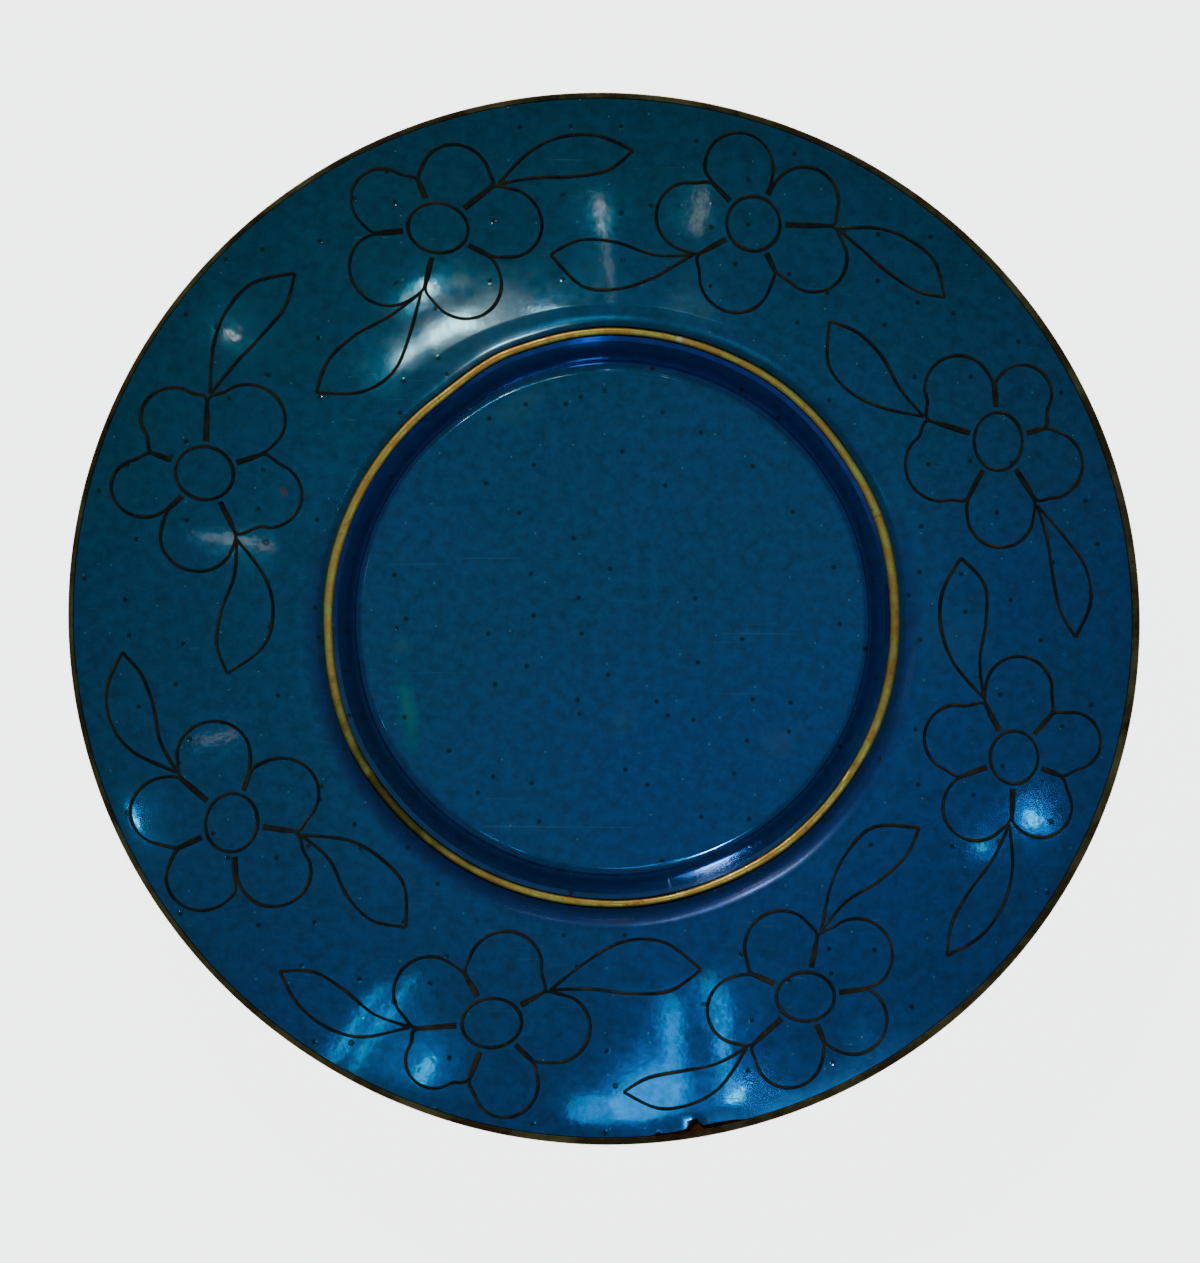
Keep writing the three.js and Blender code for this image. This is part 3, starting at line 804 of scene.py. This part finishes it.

# %% [markdown]
# ## Flower sprays
# The maker bent each flower from one length of flat wire: five loops, with the wire brought in beside
# itself between them. The eye is a ring of its own and each leaf a folded wire. No two sprays are
# alike, so each one's bends are listed one by one, as the frame has them: bearings in degrees, lengths
# in hundredths of the band between the ring and the edge.
#
# A petal is the bearing and distance of its middle from the eye's, its radius, and the bearing and
# distance of the outer end of the pinch after it. A leaf is the pinch it grows from, its heading and
# length, and how far its wires stand out to the left and to the right at three places.

# %% Bends of the sprays
SPRAYS = [
    {
        "at": (113, 58), "eye": (12, 10),
        "petals": [
            (154, 23, 13, 110, 21), (67, 21, 14, 37, 29), (5, 28, 14, -29, 24),
            (-67, 24, 15, -105, 26), (-141, 27, 15, -174, 26),
        ],
        "leaves": [(1, 14, 59, (9, 12, 9), (-1, -4, -5)), (3, -136, 62, (9, 15, 12), (-2, -6, -6))],
    },
    {
        "at": (70, 57), "eye": (11, 11),
        "petals": [
            (103, 23, 14, 62, 17), (22, 23, 14, -2, 33), (-30, 28, 14, -67, 22),
            (-111, 23, 15, -152, 27), (174, 26, 14, 135, 24),
        ],
        "leaves": [(1, -33, 54, (9, 12, 10), (-2, -4, -4)), (3, 180, 60, (9, 14, 13), (0, -5, -6))],
    },
    {
        "at": (25, 58), "eye": (10, 12),
        "petals": [
            (127, 27, 14, 93, 24), (62, 22, 12, 16, 21), (-25, 23, 14, -58, 29),
            (-89, 30, 14, -119, 28), (-158, 26, 15, 163, 31),
        ],
        "leaves": [(4, 134, 57, (10, 15, 13), (-1, -5, -5)), (2, -74, 59, (7, 12, 10), (0, -2, -3))],
    },
    {
        "at": (-19, 57), "eye": (10, 11),
        "petals": [
            (86, 28, 14, 49, 25), (16, 25, 12, -21, 22), (-61, 23, 13, -92, 26),
            (-127, 26, 14, -160, 25), (162, 25, 14, 119, 26),
        ],
        "leaves": [(4, 99, 61, (10, 13, 10), (-1, -6, -8)), (2, -115, 62, (9, 12, 9), (0, -3, -4))],
    },
    {
        "at": (-63, 58), "eye": (12, 10),
        "petals": [
            (118, 23, 15, 80, 26), (40, 27, 15, 8, 26), (-25, 22, 14, -66, 21),
            (-105, 24, 14, -137, 30), (-168, 27, 14, 158, 25),
        ],
        "leaves": [(0, 47, 61, (10, 15, 14), (1, -3, -4)), (3, -160, 55, (11, 14, 11), (2, 0, -2))],
    },
    {
        "at": (-106, 57), "eye": (12, 10),
        "petals": [
            (153, 29, 14, 120, 24), (79, 23, 15, 32, 25), (-5, 26, 14, -42, 24),
            (-75, 26, 13, -110, 25), (-147, 26, 12, -176, 31),
        ],
        "leaves": [(1, 8, 64, (10, 16, 13), (-2, -6, -7)), (4, 156, 59, (11, 13, 9), (1, -3, -5))],
    },
    {
        "at": (-151, 58), "eye": (10, 12),
        "petals": [
            (105, 29, 14, 73, 23), (32, 22, 15, -9, 26), (-50, 27, 14, -84, 23),
            (-115, 24, 14, -153, 23), (168, 25, 14, 137, 28),
        ],
        "leaves": [(4, 113, 56, (12, 15, 11), (1, -2, -3)), (1, -42, 59, (11, 14, 12), (0, -6, -7))],
    },
    {
        "at": (160, 57), "eye": (11, 11),
        "petals": [
            (115, 24, 13, 86, 31), (52, 29, 14, 20, 25), (-20, 25, 14, -65, 28),
            (-97, 27, 14, -133, 22), (-164, 24, 12, 158, 22),
        ],
        "leaves": [(0, 55, 63, (9, 13, 11), (-1, -3, -4)), (2, -94, 58, (12, 16, 13), (0, -4, -5))],
    },
]
hundredth = (rim_radius - ring_radius) / 100
print("sprays:", len(SPRAYS), "and a hundredth is", round(hundredth, 3), "mm")

# %% [markdown]
# ## Wire
# A wire is a curve with a round bevel, made a mesh and pressed flat, then laid on the rim so that only
# its top stands out of the glass, by less than a tenth of a millimetre.

# %% Laying a wire
WIRE_WIDTH = 0.38
WIRE_DEPTH = 0.18
WIRE_PROUD = 0.06  # how far it stands out of the glass
WIRE_UNEVEN = 0.25  # share by which its width wanders
WANDER_SIZE = 2.5  # length of that wandering, in mm
SMOOTH_STEPS = 5


def towards(degrees):
    """A flat direction of length 1."""
    return Vector((math.cos(math.radians(degrees)), math.sin(math.radians(degrees))))


def smooth(points, closed=False):
    """A smooth line through the points, bent as a wire bends."""
    count = len(points)
    line = []
    for i in range(count if closed else count - 1):
        if closed:
            a, b, c, d = (points[(i + k) % count] for k in (-1, 0, 1, 2))
        else:
            a, b, c, d = (points[min(max(i + k, 0), count - 1)] for k in (-1, 0, 1, 2))
        for step in range(SMOOTH_STEPS):
            t = step / SMOOTH_STEPS
            line.append(
                0.5 * (2 * b + (c - a) * t + (2 * a - 5 * b + 4 * c - d) * t * t
                       + (3 * b - a - 3 * c + d) * t ** 3)
            )
    if not closed:
        line.append(points[-1])
    return line


def wire_piece(name, lines, node, closed=False):
    """One piece of wire from its flat lines in mm, laid on the rim."""
    curve = bpy.data.curves.new(name, "CURVE")
    curve.dimensions = "3D"
    curve.bevel_depth = WIRE_WIDTH / 2
    curve.bevel_resolution = 2
    curve.use_fill_caps = True
    for line in lines:
        spline = curve.splines.new("POLY")
        spline.points.add(len(line) - 1)
        spline.use_cyclic_u = closed
        for point, at in zip(spline.points, line):
            point.co = (at.x, at.y, 0, 1)
            point.radius = 1 + WIRE_UNEVEN * noise.noise(Vector((at.x, at.y, 3)) / WANDER_SIZE)
    template = bpy.data.objects.new(name + "_line", curve)
    bpy.context.scene.collection.objects.link(template)
    depsgraph = bpy.context.evaluated_depsgraph_get()
    mesh = bpy.data.meshes.new_from_object(template.evaluated_get(depsgraph))
    bpy.data.objects.remove(template)
    mesh.name = name
    for vert in mesh.vertices:
        x, y, z = vert.co
        top = rim_top(math.hypot(x, y)) + unevenness(x, y)
        flat = z * WIRE_DEPTH / WIRE_WIDTH
        vert.co = by_hand((x, y, top + WIRE_PROUD - WIRE_DEPTH / 2 + flat))
    mesh.shade_smooth()
    mesh.materials.clear()
    link_piece(name, mesh, dark_wire, [node])


print("a wire's section, mm:", WIRE_WIDTH, "by", WIRE_DEPTH)

# %% [markdown]
# ## Petals, eyes and leaves
# A petal is an arc round its own middle, and its wire runs in and out beside the next one's at each
# pinch. The eye is an oval ring. A leaf grows from a pinch and ends in a point.

# %% Petals, eyes and leaves
PETAL_STEPS = 10
EYE_STEPS = 12
TIP_GAP = 1.3  # from the eye to the tip of a pinch, in wire widths
PINCH_HALF = 0.3  # half the distance between the two wires of a pinch, in wire widths
PINCH_WAIST = 0.55  # where between its tip and its end a pinch has its third point
LEAF_START, LEAF_OPENS = 0.45, 0.6  # from the end of the pinch, in mm
LEAF_SHARES = (0.25, 0.5, 0.75)  # the three places where a leaf's width is given


def eye_middle(spray):
    """Where the middle of a spray's eye is, in mm."""
    bearing, out = spray["at"]
    return towards(bearing) * (ring_radius + out * hundredth)


def pinches_of(spray):
    """Where the wire comes in between two petals: its inner tip and its outer end."""
    pinches = []
    for *_, bearing, distance in spray["petals"]:
        way = towards(bearing)
        eye = math.hypot(way.x * spray["eye"][0], way.y * spray["eye"][1]) * hundredth
        tip = eye_middle(spray) + way * (eye + WIRE_WIDTH * TIP_GAP)
        pinches.append((tip, eye_middle(spray) + way * distance * hundredth))
    return pinches


def petal_line(spray, number, pinches):
    """A petal's wire, from the pinch before it to the pinch after it."""
    bearing, distance, radius, *_ = spray["petals"][number]
    heart = eye_middle(spray) + towards(bearing) * distance * hundredth
    (first_tip, first_out), (last_tip, last_out) = pinches[number - 1], pinches[number]

    def from_outward(at):
        away = at - heart
        return (math.degrees(math.atan2(away.y, away.x)) - bearing) % 360

    def aside(tip, out, side):
        along = (out - tip).normalized()
        shift = Vector((-along.y, along.x)) * side * WIRE_WIDTH * PINCH_HALF
        return [tip + shift, tip.lerp(out, PINCH_WAIST) + shift, out + shift]

    first = from_outward(first_out)
    last = from_outward(last_out) - 360
    line = aside(first_tip, first_out, -1)
    for i in range(1, PETAL_STEPS):
        turn = first + (last - first) * i / PETAL_STEPS
        line.append(heart + towards(bearing + turn) * radius * hundredth)
    return smooth(line + aside(last_tip, last_out, 1)[::-1])


def leaf_lines(leaf, pinches):
    """The two sides of a leaf, from its pinch to its point."""
    pinch, heading, length, left, right = leaf
    base = pinches[pinch][1]
    way = towards(heading)
    aside = Vector((-way.y, way.x)) * hundredth
    start = base + way * LEAF_START
    tip = base + way * length * hundredth
    lines = []
    for stands in (left, right):
        points = [start]
        for share, stand in zip(LEAF_SHARES, stands):
            points.append(base + way * (LEAF_OPENS + share * length * hundredth) + aside * stand)
        lines.append(smooth([*points, tip]))
    return lines


def eye_line(spray):
    """The oval ring in the middle of a flower."""
    half_width, half_height = spray["eye"]
    points = []
    for i in range(EYE_STEPS):
        way = towards(i * 360 / EYE_STEPS)
        out = Vector((way.x * half_width, way.y * half_height)) * hundredth
        points.append(eye_middle(spray) + out)
    return smooth(points, closed=True)


for number, spray in enumerate(SPRAYS, 1):
    pinches = pinches_of(spray)
    petals = [petal_line(spray, i, pinches) for i in range(len(pinches))]
    wire_piece(f"petals_{number}", petals, f"flower_wire_{number}")
    wire_piece(f"eye_{number}", [eye_line(spray)], f"eye_wire_{number}", closed=True)
    for side, leaf in enumerate(spray["leaves"], 1):
        lines = leaf_lines(leaf, pinches)
        wire_piece(f"leaf_{number}_{side}", lines, f"leaf_wire_{number}_{side}")

# %% [markdown]
# ## Light table
# The dish stands on a white table that shines by itself, so it throws hardly any shadow.

# %% Light table
FLOOR_HALF = 3.0  # half the table's width, in metres
FLOOR_GAP = 0.02  # keeps the table's face and the foot's from being one plane, in mm
FLOOR_GLOW = 3.8
floor_bm = bmesh.new()
bmesh.ops.create_grid(floor_bm, x_segments=1, y_segments=1, size=FLOOR_HALF)
bmesh.ops.translate(floor_bm, verts=floor_bm.verts, vec=(0, 0, -FLOOR_GAP * MM))
floor_mesh = bpy.data.meshes.new("floor")
floor_bm.to_mesh(floor_mesh)
floor_bm.free()
floor = bpy.data.objects.new("floor", floor_mesh)
floor_material, _, floor_shader, _ = start_material("pale_floor")
floor_shader.inputs["Base Color"].default_value = linear("#f6f6f4")
floor_shader.inputs["Roughness"].default_value = 0.9
floor_shader.inputs["Emission Color"].default_value = linear("#ffffff")
floor_shader.inputs["Emission Strength"].default_value = FLOOR_GLOW
floor_mesh.materials.append(floor_material)
bpy.context.scene.collection.objects.link(floor)
print("the table is", 2 * FLOOR_HALF, "m wide")

# %% [markdown]
# ## Lamps seen in the rim
# The room is dim overhead, because polished glass shows what hangs over it. What brightens the dish are
# small lamps. The rim is a shallow cone, so each lamp is seen in it at one place only. A lamp is
# therefore placed from the place on the rim where the photograph shows its reflection: the line from
# the camera is turned back at the glass, as in a mirror.

# %% Lamps seen in the rim
LAMP_AWAY = 0.7  # from the dish to every lamp, in metres
NEAR = 0.2  # the rim's slope is measured this far to each side, in mm
WARM, CYAN = "#fff2dc", "#00f0ff"


def place_lamp(name, at, target, power, size, colour="#ffffff"):
    """A flat lamp at a point, facing a target, both in metres. size: across and along, in metres."""
    light = bpy.data.lights.new(name, "AREA")
    light.shape = "ELLIPSE"
    light.energy = power
    light.color = linear(colour)[:3]
    light.size, light.size_y = size
    lamp = bpy.data.objects.new(name, light)
    lamp.location = at
    lamp.rotation_mode = "QUATERNION"
    lamp.rotation_quaternion = (at - target).to_track_quat("Z", "Y")
    bpy.context.scene.collection.objects.link(lamp)


def seen_in_rim(name, pixel, power, size, colour="#ffffff"):
    """A lamp whose image in the rim's glass lies at a pixel of the photograph."""
    x = (pixel[0] - RIM_MIDDLE_PIXEL[0]) * mm_per_pixel
    y = (RIM_MIDDLE_PIXEL[1] - pixel[1]) * mm_per_pixel
    inwards = (rim_radius - math.hypot(x, y)) / (rim_radius - VALLEY_RADIUS)
    true_x = x - well_shift * min(max(inwards, 0), 1)
    radius = math.hypot(true_x, y)
    slope = (rim_top(radius + NEAR) - rim_top(radius - NEAR)) / (2 * NEAR)
    normal = Vector((-slope * true_x / radius, -slope * y / radius, 1)).normalized()
    target = Vector((x, y, rim_top(radius))) * MM
    to_camera = (camera.location - target).normalized()
    way = 2 * normal.dot(to_camera) * normal - to_camera
    place_lamp(name, target + way * LAMP_AWAY, target, power, size, colour)


# Pixel of the photograph, power in watts, size across and along in metres
GLINTS = [
    ((436, 288), 0.022, (0.008, 0.030)),
    ((464, 322), 0.060, (0.010, 0.045)),
    ((420, 349), 0.030, (0.006, 0.040)),
    ((545, 302), 0.016, (0.006, 0.030)),
    ((605, 213), 0.004, (0.003, 0.045)),
    ((606, 255), 0.003, (0.002, 0.120)),
    ((697, 205), 0.002, (0.004, 0.045)),
    ((684, 302), 0.004, (0.004, 0.060)),
    ((276, 352), 0.002, (0.004, 0.010)),
    ((258, 543), 0.005, (0.002, 0.120)),
    ((240, 741), 0.001, (0.003, 0.040)),
]
for number, (pixel, power, size) in enumerate(GLINTS, 1):
    seen_in_rim(f"glint_{number}", pixel, power, size, WARM)
seen_in_rim("veil", (490, 318), 0.006, (0.16, 0.12))

GLOWS = [
    ((640, 1100), 0.020, (0.050, 0.060)),
    ((668, 1055), 0.014, (0.020, 0.120)),
    ((715, 1045), 0.012, (0.008, 0.170)),
    ((596, 1118), 0.009, (0.050, 0.040)),
    ((432, 1060), 0.009, (0.016, 0.026)),
    ((392, 1030), 0.007, (0.006, 0.120)),
    ((366, 1030), 0.006, (0.006, 0.110)),
    ((735, 1108), 0.008, (0.008, 0.010)),
    ((175, 817), 0.007, (0.010, 0.010)),
    ((1040, 826), 0.007, (0.010, 0.010)),
    ((990, 855), 0.003, (0.010, 0.010)),
]
for number, (pixel, power, size) in enumerate(GLOWS, 1):
    seen_in_rim(f"glow_{number}", pixel, power, size, CYAN)
print("lamps seen in the rim:", len(GLINTS) + 1 + len(GLOWS))

# %% [markdown]
# ## Low lamps
# Two lamps stand low, a cool one beside the dish's lower edge and a warm one beside its upper edge. The
# steep wall of the well sends up the light of the lamp across from it, and the flank outside the ring
# that of the lamp on its own side.

# %% Low lamps, seen in the walls beside the ring
# Bearing and height in degrees, power in watts, size in metres, colour
LOW_LAMPS = [(-84, 14, 0.05, (0.10, 0.03), "#50c8ff"), (112, 42, 0.9, (0.07, 0.04), "#fff4e0")]
for number, (bearing, height, power, size, colour) in enumerate(LOW_LAMPS, 1):
    way = Vector((*towards(bearing), math.tan(math.radians(height)))).normalized()
    place_lamp(f"low_{number}", way * LAMP_AWAY, Vector((0, 0, 0)), power, size, colour)
print("low lamps:", len(LOW_LAMPS))

# %% [markdown]
# ## The room
# Near the horizon the room is a light grey, higher up it darkens, and overhead it is a dim blue. The
# glass takes much of its own brightness from it.

# %% The room
ROOM_STRENGTH = 2.1
# Heights between which one colour turns into the next, 0 at the horizon and 1 overhead
LOW_TURN = (0.03, 0.18)
HIGH_TURN = (0.6, 1.0)
world = bpy.data.worlds.new("dim_room")
bpy.context.scene.world = world
world.use_nodes = True
world_tree = world.node_tree
sky = add(world_tree, "SeparateXYZ", {0: add(world_tree, "TexCoord").outputs["Generated"]})
up = sky.outputs["Z"]
low_sky = add(world_tree, "MapRange", {"Value": up, 1: LOW_TURN[0], 2: LOW_TURN[1]})
high_sky = add(world_tree, "MapRange", {"Value": up, 1: HIGH_TURN[0], 2: HIGH_TURN[1]})
dusk = {0: low_sky, 6: linear("#8c8e90"), 7: linear("#3c5459")}
dusk = add(world_tree, "Mix", dusk, data_type="RGBA")
dusk = add(world_tree, "Mix", {0: high_sky, 6: dusk, 7: linear("#4b6e79")}, data_type="RGBA")
world_tree.links.new(dusk.outputs["Result"], world_tree.nodes["Background"].inputs["Color"])
world_tree.nodes["Background"].inputs["Strength"].default_value = ROOM_STRENGTH
print("strength of the room's light:", ROOM_STRENGTH)
